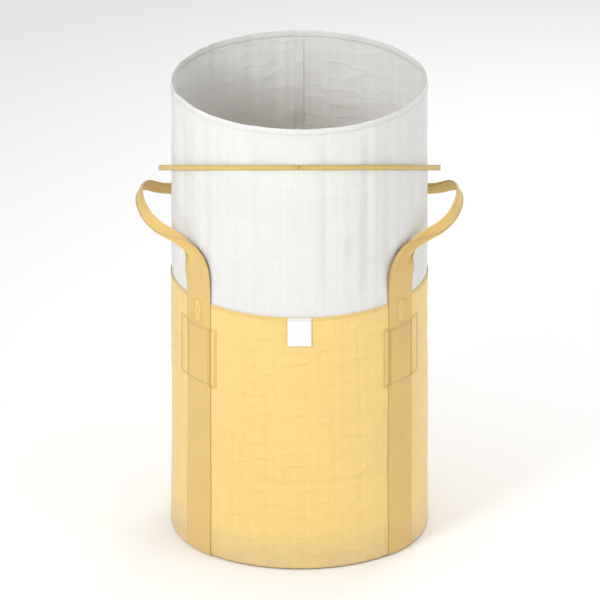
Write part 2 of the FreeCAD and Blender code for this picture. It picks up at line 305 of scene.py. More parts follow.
def webbing_material(name, colour, rib, width):
    """Heavy webbing: ribs along the length, weft picks across, painted shade in the grooves
    between them, darker selvedges.
    """
    material, n, surface, where = start_material(name)
    across, along = n.split(where)
    ribs = n.power(n.magnitude(n.math("SINE", n.times(across, math.pi / rib))), 0.6)
    stagger = n.times(n.math("FLOOR", n.times(across, 1 / rib)), math.pi / 2)
    picks = n.math("SINE", n.plus(n.times(along, math.pi / (rib * 0.9)), stagger))
    height = n.times(ribs, n.spread(n.magnitude(picks), 0.72, 1.0))
    selvedge = n.math("GREATER_THAN", n.magnitude(across), width / 2 - 0.004)
    cloudy = n.noise(where, 5.0, 4)
    yarn = n.noise(n.scaled(where, (1 / rib, 9, 1)), 1.0, 2)
    tone = n.plus(n.times(cloudy, 0.5), n.times(yarn, 0.5))
    base = n.tint(tone, shade(colour, 0.78), shade(colour, 1.12))
    # painted shade: the webbing is darkened in the grooves between its ribs and picks
    base = n.tint(n.times(n.minus(1.0, height), 0.55), base, shade(colour, 0.42))
    base = n.tint(n.times(selvedge, 0.6), base, shade(colour, 0.48))
    n.put(base, surface.inputs["Base Color"])
    n.put(n.spread(n.noise(where, 30.0, 3), 0.50, 0.72), surface.inputs["Roughness"])
    bump(n, surface, n.plus(n.times(height, 0.0011), n.times(cloudy, 0.002)), 1.0, 0.9)
    set_inputs(surface, sheen_weight=0.25, sheen_roughness=0.45, ior=PLASTIC_IOR)
    return material


def film_material(name, colour):
    """Matt white label film with faint handling marks."""
    material, n, surface, where = start_material(name)
    marks = n.noise(where, 60.0, 5, 0.65)
    n.put(n.tint(marks, shade(colour, 0.93), shade(colour, 1.03)), surface.inputs["Base Color"])
    n.put(n.spread(marks, 0.34, 0.52), surface.inputs["Roughness"])
    fibre = n.noise(n.scaled(where, (3, 1, 1)), 420.0, 2)
    bump(n, surface, n.plus(n.times(fibre, 0.0002), n.times(marks, 0.0006)), 1.0, 0.8)
    set_inputs(surface, coat_weight=0.1)
    return material


def thread_material(name, colour):
    """Twisted sewing thread."""
    material, n, surface, _ = start_material(name)
    twist = n.noise(n.new("ShaderNodeTexCoord").outputs["Object"], 700.0, 2)
    n.put(n.tint(twist, shade(colour, 0.7), shade(colour, 1.15)), surface.inputs["Base Color"])
    set_inputs(surface, roughness=0.7, sheen_weight=0.4)
    bump(n, surface, twist, 0.0003, 0.8)
    return material


BODY_CLOTH = cloth_material("body_cloth", YELLOW, pitch=0.0042, relief=0.0007, roughness=0.50,
                            coat=0.18, sheen=0.15, crumple=1.0, dusty=True)
PATCH_CLOTH = cloth_material("patch_cloth", TAPE_YELLOW, pitch=0.0036, relief=0.0007,
                             roughness=0.55, coat=0.10, sheen=0.2, crumple=0.4)
SKIRT_CLOTH = cloth_material("skirt_cloth", WHITE, pitch=0.0032, relief=0.0004, roughness=0.62,
                             coat=0.0, sheen=0.2, crumple=0.5, translucent=0.16)
WEBBING = webbing_material("sling_webbing", BELT_YELLOW, 0.0034, BELT_W)
TIE_TAPE = webbing_material("tie_tape", TAPE_YELLOW, 0.0020, TIE_W)
FILM = film_material("label_film", FILM_WHITE)
THREAD = thread_material("ochre_thread", OCHRE)
PALE_THREAD = thread_material("pale_thread", PALE)

# ---- mesh helpers ----


def smooth(low, high, x):
    """0 below low, 1 above high, eased between them."""
    t = np.clip((np.asarray(x, float) - low) / (high - low), 0, 1)
    return t * t * (3 - 2 * t)


def groove(distance, width):
    """1 on a line, fading out with the distance from it."""
    return np.exp(-(distance / width) ** 2)


def ripple(phase):
    """Sine moved to 0..1."""
    return 0.5 + 0.5 * np.sin(phase)


def wrapped(angle):
    return (angle + math.pi) % (2 * math.pi) - math.pi


def polar(radius, azimuth, z):
    return np.stack([radius * np.sin(azimuth), -radius * np.cos(azimuth), z + 0 * radius], -1)


def run_of(points):
    """Distance along a line of points, at each of them."""
    return np.concatenate([[0], np.cumsum(np.linalg.norm(np.diff(points, axis=0), axis=1))])


def unit(rows):
    return rows / np.linalg.norm(rows, axis=1)[:, None]


def add_object(name, data):
    obj = bpy.data.objects.new(name, data)
    bpy.context.scene.collection.objects.link(obj)
    return obj


def mesh_object(name, points, faces, material, uv):
    """Smooth mesh; uv has the cloth coordinates of each face's corners."""
    mesh = bpy.data.meshes.new(name)
    mesh.from_pydata([tuple(p) for p in points], [], faces)
    mesh.materials.append(material)
    mesh.polygons.foreach_set("use_smooth", [True] * len(mesh.polygons))
    layer = mesh.uv_layers.new(name="cloth")
    layer.data.foreach_set("uv", np.array([at for face in uv for at in face], float).ravel())
    mesh.update()
    return add_object(name, mesh)


def grid_faces(uv, around=False, continued=False, flipped=False):
    """Faces of a grid of points and their UV. around joins the last column to the first, and
    continued carries the UV on over that join."""
    rows, columns = uv.shape[:2]
    faces, face_uv = [], []
    for i in range(rows - 1):
        for j in range(columns if around else columns - 1):
            k = (j + 1) % columns
            places = [(i, j), (i, k), (i + 1, k), (i + 1, j)]
            corners = [uv[place] for place in places]
            if continued and k == 0:
                step = uv[i, 1] - uv[i, 0]
                corners[1], corners[2] = uv[i, j] + step, uv[i + 1, j] + step
            faces.append([row * columns + column for row, column in places])
            face_uv.append(corners)
    if flipped:
        faces = [[a, d, c, b] for a, b, c, d in faces]
        face_uv = [[a, d, c, b] for a, b, c, d in face_uv]
    return faces, face_uv


def cap(faces, face_uv, uv, row, backward):
    """Closes a grid that goes around, with one face at one of its rows."""
    columns = uv.shape[1]
    order = range(columns)[::-1] if backward else range(columns)
    faces.append([row * columns + j for j in order])
    face_uv.append([uv[row, j] for j in order])


def thicken(obj, thickness, offset=-1.0):
    solid = obj.modifiers.new("thickness", "SOLIDIFY")
    solid.thickness = thickness
    solid.offset = offset


def grid_object(name, points, uv, material, around=False):
    """Cloth from a grid of points. It faces outward where, seen from outside, the columns go to
    the right and the rows go up."""
    faces, face_uv = grid_faces(uv, around, continued=around)
    return mesh_object(name, points.reshape(-1, 3), faces, material, face_uv)


def stands_for(obj, nodes, body=None):
    """Nodes that a piece replaces and the body it moves with."""
    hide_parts(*nodes)
    if body:
        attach(obj, body)


def on_wall(radius, azimuth, z, side=1):
    """Stitch path on a curved wall, seen from outside (side 1) or from inside (side -1)."""
    azimuth, z = np.broadcast_arrays(azimuth, z)
    outward = polar(1 + 0 * azimuth, azimuth, 0 * azimuth)
    return polar(radius(azimuth, z), azimuth, z), side * outward


# one stitch, from end to end: share of its length, lift and share of its width
STITCH_PROFILE = ((0.0, -0.3, 0.35), (0.22, 0.8, 1.0), (0.78, 0.8, 1.0), (1.0, -0.3, 0.35))


def stitches(name, paths, body, material, length=0.0065, gap=0.0035, width=0.0017, height=0.0011):
    """Rows of lock stitches. Each path is (points, normals); a stitch bulges out of the cloth."""
    points, faces = [], []
    for line, normals in paths:
        reach = run_of(line)
        count = int((reach[-1] + gap) // (length + gap))
        spare = reach[-1] - count * (length + gap) + gap

        def at(s, data):
            return np.array([np.interp(s, reach, data[:, a]) for a in (X, Y, Z)])

        for i in range(count):
            start = spare / 2 + i * (length + gap)
            up = at(start + length / 2, normals)
            up /= np.linalg.norm(up)
            along = at(start + length, line) - at(start, line)
            side = np.cross(up, along / np.linalg.norm(along))
            first = len(points)
            for share, lift, spread in STITCH_PROFILE:
                top = at(start + length * share, line) + up * height * lift
                edge, foot = side * width / 2 * spread, up * height * 0.5
                points += [top + edge - foot, top + up * height * 0.35, top - edge - foot]
            for a in range(first, first + 9, 3):
                faces += [(a, a + 3, a + 4, a + 1), (a + 1, a + 4, a + 5, a + 2),
                          (a + 2, a + 5, a + 3, a)]
            faces += [(first, first + 1, first + 2), (first + 11, first + 10, first + 9)]
    uv = [[(points[v][X], points[v][Z]) for v in face] for face in faces]
    obj = mesh_object(name, points, faces, material, uv)
    if body:
        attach(obj, body)
    return obj


# ---- the cloth's relief ----

TURN = 6.28
rng = np.random.default_rng(7)
# waves around the bag, then random phase, lean and start
BODY_WAVES = [(n, rng.uniform(0, TURN), rng.uniform(-2.5, 2.5), rng.uniform(0, TURN))
              for n in (3, 5, 8, 13)]
# folds around the skirt, random phase and lean, depth
SKIRT_WAVES = [(n, rng.uniform(0, TURN), rng.uniform(-1.6, 1.6), size) for n, size in
               ((7, 0.0030), (13, 0.0036), (22, 0.0038), (35, 0.0030), (54, 0.0015))]
PACK_FOLDS = np.radians([-118, -62, -21, 28, 71, 122, 158, 205])     # upright creases
PACK_LEVELS = (0.405, 0.79)     # creases around the bag
# cloth between two belts: its centre and half its width
SPANS = ((0, LEG_AZIMUTH), (math.pi, LEG_AZIMUTH),
         (math.pi / 2, math.pi / 2 - LEG_AZIMUTH), (-math.pi / 2, math.pi / 2 - LEG_AZIMUTH))
# soft drapes hanging between two belts: depth below the rim, sag, relief
SWAGS = ((0.10, 0.10, 0.0016), (0.20, 0.17, 0.0020), (0.36, 0.22, 0.0014))
TIE_SPOTS = ((0.0, RIM + 0.70), (math.pi, RIM + 0.43))      # where the tie is sewn on
MOST_PROUD = 0.0002


def body_relief(azimuth, z):
    """How far the body cloth stands off the true cylinder: slack, creases and seam puckers."""
    azimuth, z = np.broadcast_arrays(np.asarray(azimuth, float), np.asarray(z, float))
    share = np.clip(z / RIM, 0, 1)
    slack = sum(0.0014 * np.sin(n * azimuth + phase + lean * share)
                * np.sin(math.pi * share * (1 + i % 2) + start)
                for i, (n, phase, lean, start) in enumerate(BODY_WAVES))
    relief = (slack - 0.0020) * np.sin(math.pi * share) ** 0.7
    for i, fold in enumerate(PACK_FOLDS):
        width = 0.010 + 0.004 * (i % 3)
        drift = 0.02 * np.sin(4 * share + i)
        reach = smooth(0.05, 0.25, share) * (1 - smooth(0.80, 0.98, share))
        relief = relief - 0.0030 * reach * groove(wrapped(azimuth - fold + drift) * R, width)
    for level in PACK_LEVELS:
        sag = 0.006 * np.sin(3 * azimuth + level * 9)
        relief = relief - 0.0026 * groove(z - level - sag, 0.010)
    for centre, half_span in SPANS:
        across = wrapped(azimuth - centre) / half_span
        between = smooth(0.0, 0.35, 1 - np.abs(across))
        width = 0.016 + 0.010 * (1 - np.abs(across))
        for depth, sag, size in SWAGS:
            wander = 0.012 * np.sin(5 * across + depth * 20)
            swag = RIM - depth - sag * (1 - across ** 2) * half_span + wander
            relief = relief - size * between * groove(z - swag, width)
    rim_pucker = ripple(76 * azimuth + 3 * np.sin(5 * azimuth))
    base_pucker = ripple(58 * azimuth + 4 * np.sin(3 * azimuth))
    relief = relief - 0.0009 * groove(RIM - z, 0.045) * rim_pucker
    relief = relief - 0.0016 * groove(z - 0.02, 0.055) * base_pucker
    return np.minimum(relief, MOST_PROUD)


def skirt_relief(azimuth, z):
    """Loose folds of the light skirt, none at the sewn rim, less at the hem. It stands out a
    little at the sides, and stays smooth where the tie is sewn to it."""
    azimuth, z = np.broadcast_arrays(np.asarray(azimuth, float), np.asarray(z, float))
    share = (z - RIM) / (MOUTH - RIM)
    folds = 0
    for n, phase, lean, size in SKIRT_WAVES:
        turn = n * azimuth + phase + lean * share + 0.35 * np.sin(3 * azimuth + 2.2 * share)
        folds = folds + size * (0.5 + 0.5 * np.cos(turn)) ** 1.5
    loose = smooth(0.0, 0.22, share) * (1 - 0.45 * smooth(0.80, 0.98, share))
    level = 21 * share + 2.5 * np.sin(4 * azimuth + 1) + 1.5 * np.sin(7 * azimuth)
    ripples = 0.0016 * smooth(0.02, 0.10, share) * ripple(level)
    pucker = 0.0012 * groove(share, 0.05) * ripple(84 * azimuth + 3 * np.sin(6 * azimuth))
    for centre, height in TIE_SPOTS:
        distance = np.hypot(wrapped(azimuth - centre) * R, z - height)
        loose = loose * smooth(0.0, 0.09, distance)
    turn = np.degrees(np.abs(wrapped(azimuth)))
    beside = smooth(63, 76, turn) * (1 - smooth(104, 117, turn))
    out = 0.0040 * beside * smooth(0.02, 0.15, share)
    return out - (folds * loose * (1 - 0.5 * beside) + ripples * smooth(0, 0.3, loose) + pucker)


def body_face(proud):
    """Radius of a surface that follows the body cloth, so far outside it."""
    return lambda a, z: R + proud + body_relief(a, z)


def skirt_face(proud):
    """Radius of a surface that follows the skirt, so far outside it."""
    return lambda a, z: SKIRT_R + proud + skirt_relief(a, z)


# ---- cloth body and base ----

FOOT_ROUND = 0.015      # rounding of the cloth where wall and base are sewn together
TURNED_IN = 0.055       # how far the wall's seam allowance runs in under the base
DOWN = (0, 0, -1.0)


def around(count):
    """Azimuths once around, both ends at the back."""
    return np.linspace(-math.pi, math.pi, count + 1)


AROUND = around(540)[:-1]


def tube(name, heights, radius, material, thickness, node, body="bag"):
    """Cloth tube; radius is a function of azimuth and height."""
    azimuth, z = np.meshgrid(AROUND, heights)
    points = polar(radius(azimuth, z), azimuth, z)
    obj = grid_object(name, points, np.stack([azimuth * R, z], -1), material, around=True)
    thicken(obj, thickness)
    stands_for(obj, [node], body)
    return obj


def body_shell():
    """Wall with its rounded, puckered foot and the seam allowance turned in under the base."""
    foot = [(R - TURNED_IN + 0.006 * i, WALL_LOW) for i in range(7)]
    turn_r, turn_z = R - FOOT_ROUND, WALL_LOW + FOOT_ROUND
    curve = [(turn_r + FOOT_ROUND * math.sin(a), turn_z - FOOT_ROUND * math.cos(a))
             for a in np.radians(np.arange(10, 90, 10))]
    wall = [(R, z) for z in np.linspace(turn_z, RIM, 180)]
    profile = np.array(foot + curve + wall)
    azimuth, index = np.meshgrid(AROUND, np.arange(len(profile)))
    z = profile[index, 1]
    relief = body_relief(azimuth, z) * smooth(R - 0.03, R, profile[index, 0])
    radius = profile[index, 0] + relief
    under = (1 - smooth(0.006, 0.03, z)) * smooth(R - TURNED_IN, R - 0.035, radius)
    points = polar(radius, azimuth, z + np.maximum(0.0007 * np.sin(64 * azimuth) * under, 0))
    uv = np.stack([azimuth * R, run_of(profile)[index] - TURNED_IN], -1)
    obj = grid_object("body_cloth", points, uv, BODY_CLOTH, around=True)
    thicken(obj, BODY_CLOTH_T)
    stands_for(obj, ["body_wall"], "bag")


def base_disc():
    """Base cloth with slack radial folds, closed at its centre."""
    edge = most("base_panel", X)
    azimuth, radius = np.meshgrid(AROUND[::2], np.linspace(0.002, edge, 90))
    share = radius / edge
    slack = (0.0007 * np.sin(9 * azimuth + 3 * share) * np.sin(14 * share)
             + 0.0005 * np.sin(41 * azimuth) * share ** 6)
    middle = (least("base_panel") + most("base_panel")) / 2
    z = middle + 0.0010 + slack * smooth(0, 0.2, share)
    points = polar(radius, azimuth, z)[:, ::-1]
    uv = points[..., :2]
    faces, face_uv = grid_faces(uv, around=True)
    cap(faces, face_uv, uv, 0, backward=True)
    obj = mesh_object("base_cloth", points.reshape(-1, 3), faces, PATCH_CLOTH, face_uv)
    thicken(obj, 0.0015, offset=0)
    stands_for(obj, ["base_panel"], "bag")


def base_seam():
    """Bound seam in the corner of base and wall, and its stitches, inside and underneath."""
    low, edge = least("base_seam_tape"), most("base_seam_tape", X)
    tube("base_seam_binding", np.linspace(low + 0.0015, most("base_seam_tape"), 9),
         lambda a, z: edge - 0.001 - 0.0012 * ripple(90 * a) * smooth(0.012, 0.03, z),
         PATCH_CLOTH, BODY_CLOTH_T, "base_seam_tape")
    line = np.arange(0, 721) * math.pi / 360
    inside = on_wall(lambda a, z: edge - 0.0040 + 0 * a, line, low + 0.012, -1)
    stitches("base_seam_stitches", [inside], "bag", PALE_THREAD)
    seam = R - 0.038
    rows = [(polar(row + 0 * line, line, WALL_LOW - 0.0002), np.tile(DOWN, (len(line), 1)))
            for row in (seam, seam - 0.008)]
    stitches("base_seam_stitches_under", rows, "bag", THREAD)


body_shell()
base_disc()
base_seam()

# ---- skirt ----


def fold_with_skirt(obj):
    """Cloth on the skirt, which comes down with the mouth and crumples toward the rim: here it
    moves with the bag and gets a mesh of its own.
    """
    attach(obj, "bag")
    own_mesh(obj)


def top_skirt():
    sewn_in = np.linspace(SKIRT_LOW, RIM + 0.03, 14)
    free = np.linspace(RIM + 0.03, HEM_LOW + 0.006, 140)
    skirt = tube("skirt_cloth", np.concatenate([sewn_in, free[1:]]), skirt_face(-0.0002),
                 SKIRT_CLOTH, SKIRT_CLOTH_T, "top_skirt", body=None)
    fold_with_skirt(skirt)


def hem_radius(side):
    """Hem: cloth folded over itself, flat with a soft roll along the very edge."""
    def radius(azimuth, z):
        share = (z - HEM_LOW) / (MOUTH - HEM_LOW)
        roll = 0.0006 * np.sqrt(np.clip(1 - (2 * share - 1) ** 2, 0, 1))
        pucker = 0.0004 * np.sin(110 * azimuth) * groove(share - 0.12, 0.12)
        return SKIRT_R + skirt_relief(azimuth, z) + side * (0.0003 + roll) + pucker
    return radius


def hem_inside(azimuth, z):
    return hem_radius(-1)(azimuth, z) - 0.0010


def mouth_hem():
    """Both faces of the folded hem in one closed band, and two rows of stitching."""
    azimuth, z = np.meshgrid(AROUND, np.linspace(HEM_LOW, MOUTH - 0.0008, 12))
    outer = polar(hem_radius(1)(azimuth, z), azimuth, z)
    inner = polar(hem_inside(azimuth, z), azimuth, z)
    crest = polar(hem_radius(0)(AROUND, MOUTH) - 0.0005, AROUND, MOUTH)[None]
    points = np.concatenate([outer, crest, inner[::-1], outer[:1]])
    uv = np.stack(np.meshgrid(AROUND * R, run_of(points[:, 0])), -1)
    obj = grid_object("mouth_hem_cloth", points, uv, SKIRT_CLOTH, around=True)
    stands_for(obj, ["mouth_hem"], "mouth")
    line, paths = around(1440), []
    for level in (HEM_LOW + 0.004, HEM_LOW + 0.009):
        paths += [on_wall(hem_radius(1), line, level), on_wall(hem_inside, line, level, -1)]
    stitches("mouth_hem_stitches", paths, "mouth", PALE_THREAD)


top_skirt()
mouth_hem()


def wall_strip(name, middle, half, heights, radius, material, thickness, node,
               body="bag", columns=9, rows=180):
    """Cloth strip or patch lying on a curved wall; half is half its angle."""
    left, right = middle - half, middle + half
    azimuth, z = np.meshgrid(np.linspace(left, right, columns), np.linspace(*heights, rows))
    points = polar(radius(azimuth, z), azimuth, z)
    uv = np.stack([(azimuth - (left + right) / 2) * R, z], -1)
    obj = grid_object(name, points, uv, material)
    thicken(obj, thickness)
    stands_for(obj, [node], body)
    return obj


def seams():
    """Tapes over the joins: inside the rim, up the back of the skirt and of the body."""
    tube("rim_tape", np.linspace(least("rim_seam_tape"), RIM, 8), skirt_face(-0.0016),
         SKIRT_CLOTH, TAPE_T, "rim_seam_tape")
    half = most("skirt_back_seam", X) / R
    back = wall_strip("skirt_back_tape", math.pi, half,
                      (least("skirt_back_seam"), most("skirt_back_seam")), skirt_face(-0.0014),
                      SKIRT_CLOTH, TAPE_T, "skirt_back_seam", body=None)
    fold_with_skirt(back)
    wall_strip("body_back_tape", math.pi, half,
               (least("body_back_seam"), most("body_back_seam")), body_face(-0.0021),
               BODY_CLOTH, TAPE_T, "body_back_seam")

    line = around(2160)
    stitches("rim_stitches", [on_wall(body_face(0.0002), line, RIM - below)
                              for below in (0.006, 0.014)], "bag", THREAD)
    stitches("rim_stitches_inside", [on_wall(skirt_face(-0.0028), line, RIM - 0.010, -1)],
             "bag", PALE_THREAD)

    skirt_up = np.linspace(RIM + 0.008, HEM_LOW - 0.004, 500)
    body_up = np.linspace(0.045, RIM - 0.025, 500)
    sides = [math.pi + side / R for side in (-0.012, 0.012)]
    fold_with_skirt(stitches("skirt_back_stitches", [on_wall(skirt_face(SKIN), side, skirt_up)
                                                     for side in sides], None, PALE_THREAD))
    stitches("body_back_stitches", [on_wall(body_face(0.0002), side, body_up)
                                    for side in sides], "bag", THREAD)


seams()

# ---- patches, sling belts and tacks ----

# stitch lines in a rectangle: from and to, as (side, height)
FRAME = (((0, 0), (1, 0)), ((1, 0), (1, 1)), ((1, 1), (0, 1)), ((0, 1), (0, 0)))
CROSS = (((0, 0), (1, 1)), ((1, 0), (0, 1)))


def corner_azimuth(from_centre, side, end):
    """Azimuth of a place counted from the front or the back centre."""
    return side * from_centre if end < 0 else side * (math.pi - from_centre)


def belt_offset(z):
    """Belt's outer face above the wall: its own thickness, and the patch's where that is."""
    over = smooth(PATCH_LOW - RAMP, PATCH_LOW, z) * (1 - smooth(PATCH_HIGH, PATCH_HIGH + RAMP, z))
    return BELT_T + PATCH_T * over + SKIN


def belt_face(a, z):
    return R + belt_offset(z) + body_relief(a, z)


def tack_face(a, z):
    """Outer face of the small patch over the belt."""
    return R + belt_offset(z) + 0.0013 + body_relief(a, z)


def patch_face(middle):
    """Outer face of a belt patch: its edges turned under, so a little thicker."""
    def radius(a, z):
        to_side = PATCH_ARC / 2 * R - np.abs(wrapped(a - middle)) * R
        to_edge = np.minimum(to_side, np.minimum(z - PATCH_LOW, PATCH_HIGH - z))
        turned_under = 0.0004 * (1 - smooth(0.008, 0.013, to_edge))
        edge = turned_under - 0.0007 * (1 - smooth(0.0, 0.003, to_edge))
        return R + PATCH_T - 0.0004 + edge + body_relief(a, z)
    return radius


def box_paths(lines, azimuth, heights, half, inset, radius, count):
    """Stitch paths along the lines of a rectangle on the wall; half is half its angle."""
    sides = azimuth - half + inset / R, azimuth + half - inset / R
    levels = heights[0] + inset, heights[1] - inset
    paths = []
    for (side_from, level_from), (side_to, level_to) in lines:
        a = np.linspace(sides[side_from], sides[side_to], count)
        z = np.linspace(levels[level_from], levels[level_to], count)
        paths.append(on_wall(radius, a, z))
    return paths


def belt_stitches(middle):
    """Rows along both edges of the belt on its patch, and across it at the patch's ends."""
    up = np.linspace(PATCH_LOW + 0.004, PATCH_HIGH - 0.004, 120)
    reach = BELT_W / 2 / R - 0.012
    paths = []
    for inset in (0.006, 0.014):
        edge = np.arcsin((BELT_W / 2 - inset) / R)
        paths += [on_wall(belt_face, middle - edge, up), on_wall(belt_face, middle + edge, up)]
    across = np.linspace(middle - reach, middle + reach, 60)
    for level in (PATCH_LOW + 0.008, PATCH_LOW + 0.016, PATCH_HIGH - 0.008, PATCH_HIGH - 0.016):
        paths.append(on_wall(belt_face, across, level))
    return paths


def patches():
    """Patch, tack and their stitches at each belt leg."""
    paths = []
    for corner, side, end in CORNERS:
        middle, half = corner_azimuth(PATCH_AZIMUTH, side, end), PATCH_ARC / 2
        face, heights = patch_face(middle), (PATCH_LOW, PATCH_HIGH)
        wall_strip("patch_" + corner, middle, half, heights, face, PATCH_CLOTH, PATCH_CLOTH_T,
                   "belt_patch_" + corner, columns=61, rows=61)
        for inset in (0.006, 0.011):
            paths += box_paths(FRAME, middle, heights, half, inset, face, 60)
        middle, half = corner_azimuth(LEG_AZIMUTH, side, end), TACK_ARC / 2
        wall_strip("tack_" + corner, middle, half, (TACK_LOW, RIM - 0.0005), tack_face,
                   PATCH_CLOTH, TAPE_T, "belt_tack_" + corner, columns=13, rows=25)
        paths += box_paths(FRAME, middle, (TACK_LOW, RIM), half, 0.004, tack_face, 30)
        paths += box_paths(CROSS, middle, (TACK_LOW, RIM), half, 0.006, tack_face, 40)
        paths += belt_stitches(middle)
    stitches("patch_stitches", paths, "bag", THREAD)


patches()

BELT_TOP = STUB_TOP - 0.018      # where the loop's own mesh takes over


def sling_belt(name, node, side, lower_face):
    """Webbing from one front leg, under the base, up the opposite rear leg. lower_face is its
    height under the base, by the distance from the centre."""
    azimuth = corner_azimuth(LEG_AZIMUTH, side, -1)
    out = np.array([math.sin(azimuth), -math.cos(azimuth)])
    right = np.array([math.cos(azimuth), math.sin(azimuth)])
    across = np.linspace(-BELT_W / 2, BELT_W / 2, 25)
    flat_reach = np.sqrt((R + BELT_T) ** 2 - across ** 2)
    bearing = np.arctan2(across, flat_reach)
    rows = []
    for sign in (-1, 1):
        half = []               # reach from the centre and height, from the centre to the top
        for share in np.linspace(0.0, 1.0, 70)[:-1]:
            reach = share * (flat_reach - CORNER)
            half.append((reach, lower_face(np.hypot(reach, across)) + SKIN))
        for turn in np.radians(np.arange(0, 88, 8)):
            reach = flat_reach - CORNER + CORNER * math.sin(turn)
            half.append((reach, np.full_like(across, CORNER - CORNER * math.cos(turn))))
        a = azimuth + (bearing if sign > 0 else math.pi - bearing)
        for z in np.linspace(CORNER, BELT_TOP, 300):
            flat_ends = smooth(CORNER, 0.10, z) * (1 - smooth(RIM - 0.03, RIM, z))
            relief = body_relief(a, z) * flat_ends
            reach = np.sqrt((R + belt_offset(z) + relief) ** 2 - across ** 2)
            half.append((reach, np.full_like(across, z)))
        line = [np.stack([sign * reach * out[X] + across * right[X],
                          sign * reach * out[Y] + across * right[Y], z], -1) for reach, z in half]
        rows += line[::-1] if sign < 0 else line[1:]
    points = np.array(rows)
    uv = np.stack(np.meshgrid(across, run_of(points[:, len(across) // 2])), -1)
    obj = grid_object(name, points, uv, WEBBING)
    thicken(obj, WEBBING_T)
    bevel = obj.modifiers.new("edge", "BEVEL")
    bevel.width = 0.0006
    bevel.segments = 2
    bevel.limit_method = "ANGLE"
    bevel.angle_limit = math.radians(60)
    stands_for(obj, [node], "bag")


# the second belt rises over the first where they cross under the base
sling_belt("sling_webbing_a", "sling_belt_a", -1, lambda r: 0 * r)
sling_belt("sling_webbing_b", "sling_belt_b", 1,
           lambda r: BELT_T * (1 - smooth(CROSS_R, CROSS_R + RAMP, r)))

# ---- lifting loops ----

LEG_R = R + BELT_T / 2 + 0.0007
LEG_X = LEG_R * math.sin(LEG_AZIMUTH)
LEG_Y = LEG_R * math.cos(LEG_AZIMUTH)
REACH = R + 0.137 - LEG_X
RISE = 0.339

# run of the webbing from the rear leg at +X to the top of the loop: shares of reach, of the leg's
# distance to the back and of the rise; how far it is folded; direction of its width
LOOP_RUN = [
    (0, 1, (BELT_TOP - 0.003 - RIM) / RISE, 0.0, (0.616, -0.788, 0)),
    (0, 1, 0.20, 0.0, (0.616, -0.788, 0)),
    (0, 1, 0.30, 0.0, (0.63, -0.77, -0.07)),
    (0.015, 1, 0.43, 0.03, (0.655, -0.715, -0.22)),
    (0.085, 0.965, 0.595, 0.25, (0.585, -0.60, -0.50)),
    (0.235, 0.865, 0.705, 0.60, (0.47, -0.36, -0.79)),
    (0.44, 0.745, 0.768, 0.86, (0.43, -0.10, -0.89)),
    (0.66, 0.64, 0.822, 0.96, (0.48, 0.08, -0.87)),
    (0.86, 0.51, 0.92, 1.0, (0.45, 0.05, -0.89)),
    (0.965, 0.27, 0.98, 1.0, (0.45, 0, -0.89)),
    (1, 0, 1, 1.0, (0.45, 0, -0.89)),
]
GRIP_HALF = 0.026
GRIP_SEAM = 0.019       # stitch rows, from the middle of the grip
SEWN_REACH = 0.155      # the grip is sewn this far to the front and to the back
LAYER = 0.0031          # from one folded layer to the next
PLEAT = 0.011           # how far the edges bulge on the way to being folded
KEPT_ENDS = 6           # points at each end that smoothing leaves alone
# across the webbing, -1..1, closer together at the fold lines
FOLD_POINTS = np.array([0.32, 0.3334, 0.345, 0.36, 0.39])
ACROSS_LOOP = np.unique(np.concatenate([np.linspace(-1, 1, 31), FOLD_POINTS, -FOLD_POINTS]))


def eased(stations, where):
    """Smooth curve through the stations, read at fractional positions."""
    stations = np.asarray(stations, float)
    index = np.clip(np.floor(where).astype(int), 0, len(stations) - 2)
    t = (where - index)[:, None]
    p0 = stations[np.maximum(index - 1, 0)]
    p1, p2 = stations[index], stations[index + 1]
    p3 = stations[np.minimum(index + 2, len(stations) - 1)]
    return 0.5 * (2 * p1 + (p2 - p0) * t + (2 * p0 - 5 * p1 + 4 * p2 - p3) * t ** 2
                  + (3 * p1 - p0 - 3 * p2 + p3) * t ** 3)


def fold_section(q, folded, curve):
    """Section of the webbing, from flat on the wall to folded in three: across, outward."""
    flat_a = q * BELT_W / 2
    flat_b = -curve * flat_a ** 2 / (2 * R)
    outer = np.clip((np.abs(q) - 1 / 3) / (2 / 3), 0, 1)
    side = np.sign(q)
    fold_a = np.where(np.abs(q) <= 1 / 3, 3 * q * GRIP_HALF, side * GRIP_HALF * (1 - 2 * outer))
    fold_b = -side * LAYER * smooth(0.0, 0.10, outer)
    pleat = -side * PLEAT * math.sin(math.pi * min(folded, 1.0)) * np.sin(math.pi * outer)
    return (1 - folded) * flat_a + folded * fold_a, (1 - folded) * flat_b + folded * fold_b + pleat


def blurred(data, steps):
    """Rows of data smoothed along the run, as if its ends went on."""
    reach = int(3 * steps)
    weight = np.exp(-0.5 * (np.arange(-reach, reach + 1) / steps) ** 2)
    weight /= weight.sum()
    longer = np.concatenate([np.repeat(data[:1], reach, 0), data, np.repeat(data[-1:], reach, 0)])
    return np.stack([np.convolve(column, weight, "valid") for column in longer.T], 1)


def loop_frames(count=260):
    """Middle, across, outward, folded and curve at even steps of the whole loop at +X."""
    back = [(x, -y, z, folded, (u[X], -u[Y], u[Z])) for x, y, z, folded, u in LOOP_RUN[-2::-1]]
    run = LOOP_RUN + back
    where = np.linspace(0, len(run) - 1, 1400)
    middle = eased([(LEG_X + x * REACH, y * LEG_Y, RIM + z * RISE) for x, y, z, *_ in run], where)
    across = eased([station[4] for station in run], where)
    folded = np.clip(eased([station[3:4] for station in run], where), 0, 1)
    reach = run_of(middle)
    even = np.linspace(0, reach[-1], count)
    middle, across, folded = [np.stack([np.interp(even, reach, column) for column in data.T], 1)
                              for data in (middle, across, folded)]
    softer = blurred(middle, 4)
    middle[KEPT_ENDS:-KEPT_ENDS] = softer[KEPT_ENDS:-KEPT_ENDS]
    across = blurred(across, 9)
    folded = blurred(folded, 7)[:, 0]
    along = unit(np.gradient(middle, axis=0))
    across = unit(across - along * (across * along).sum(1)[:, None])
    outward = np.cross(along, across)
    curve = 1 - smooth(0.035, 0.11, middle[:, Z] - RIM)
    return middle, across, outward, folded, curve


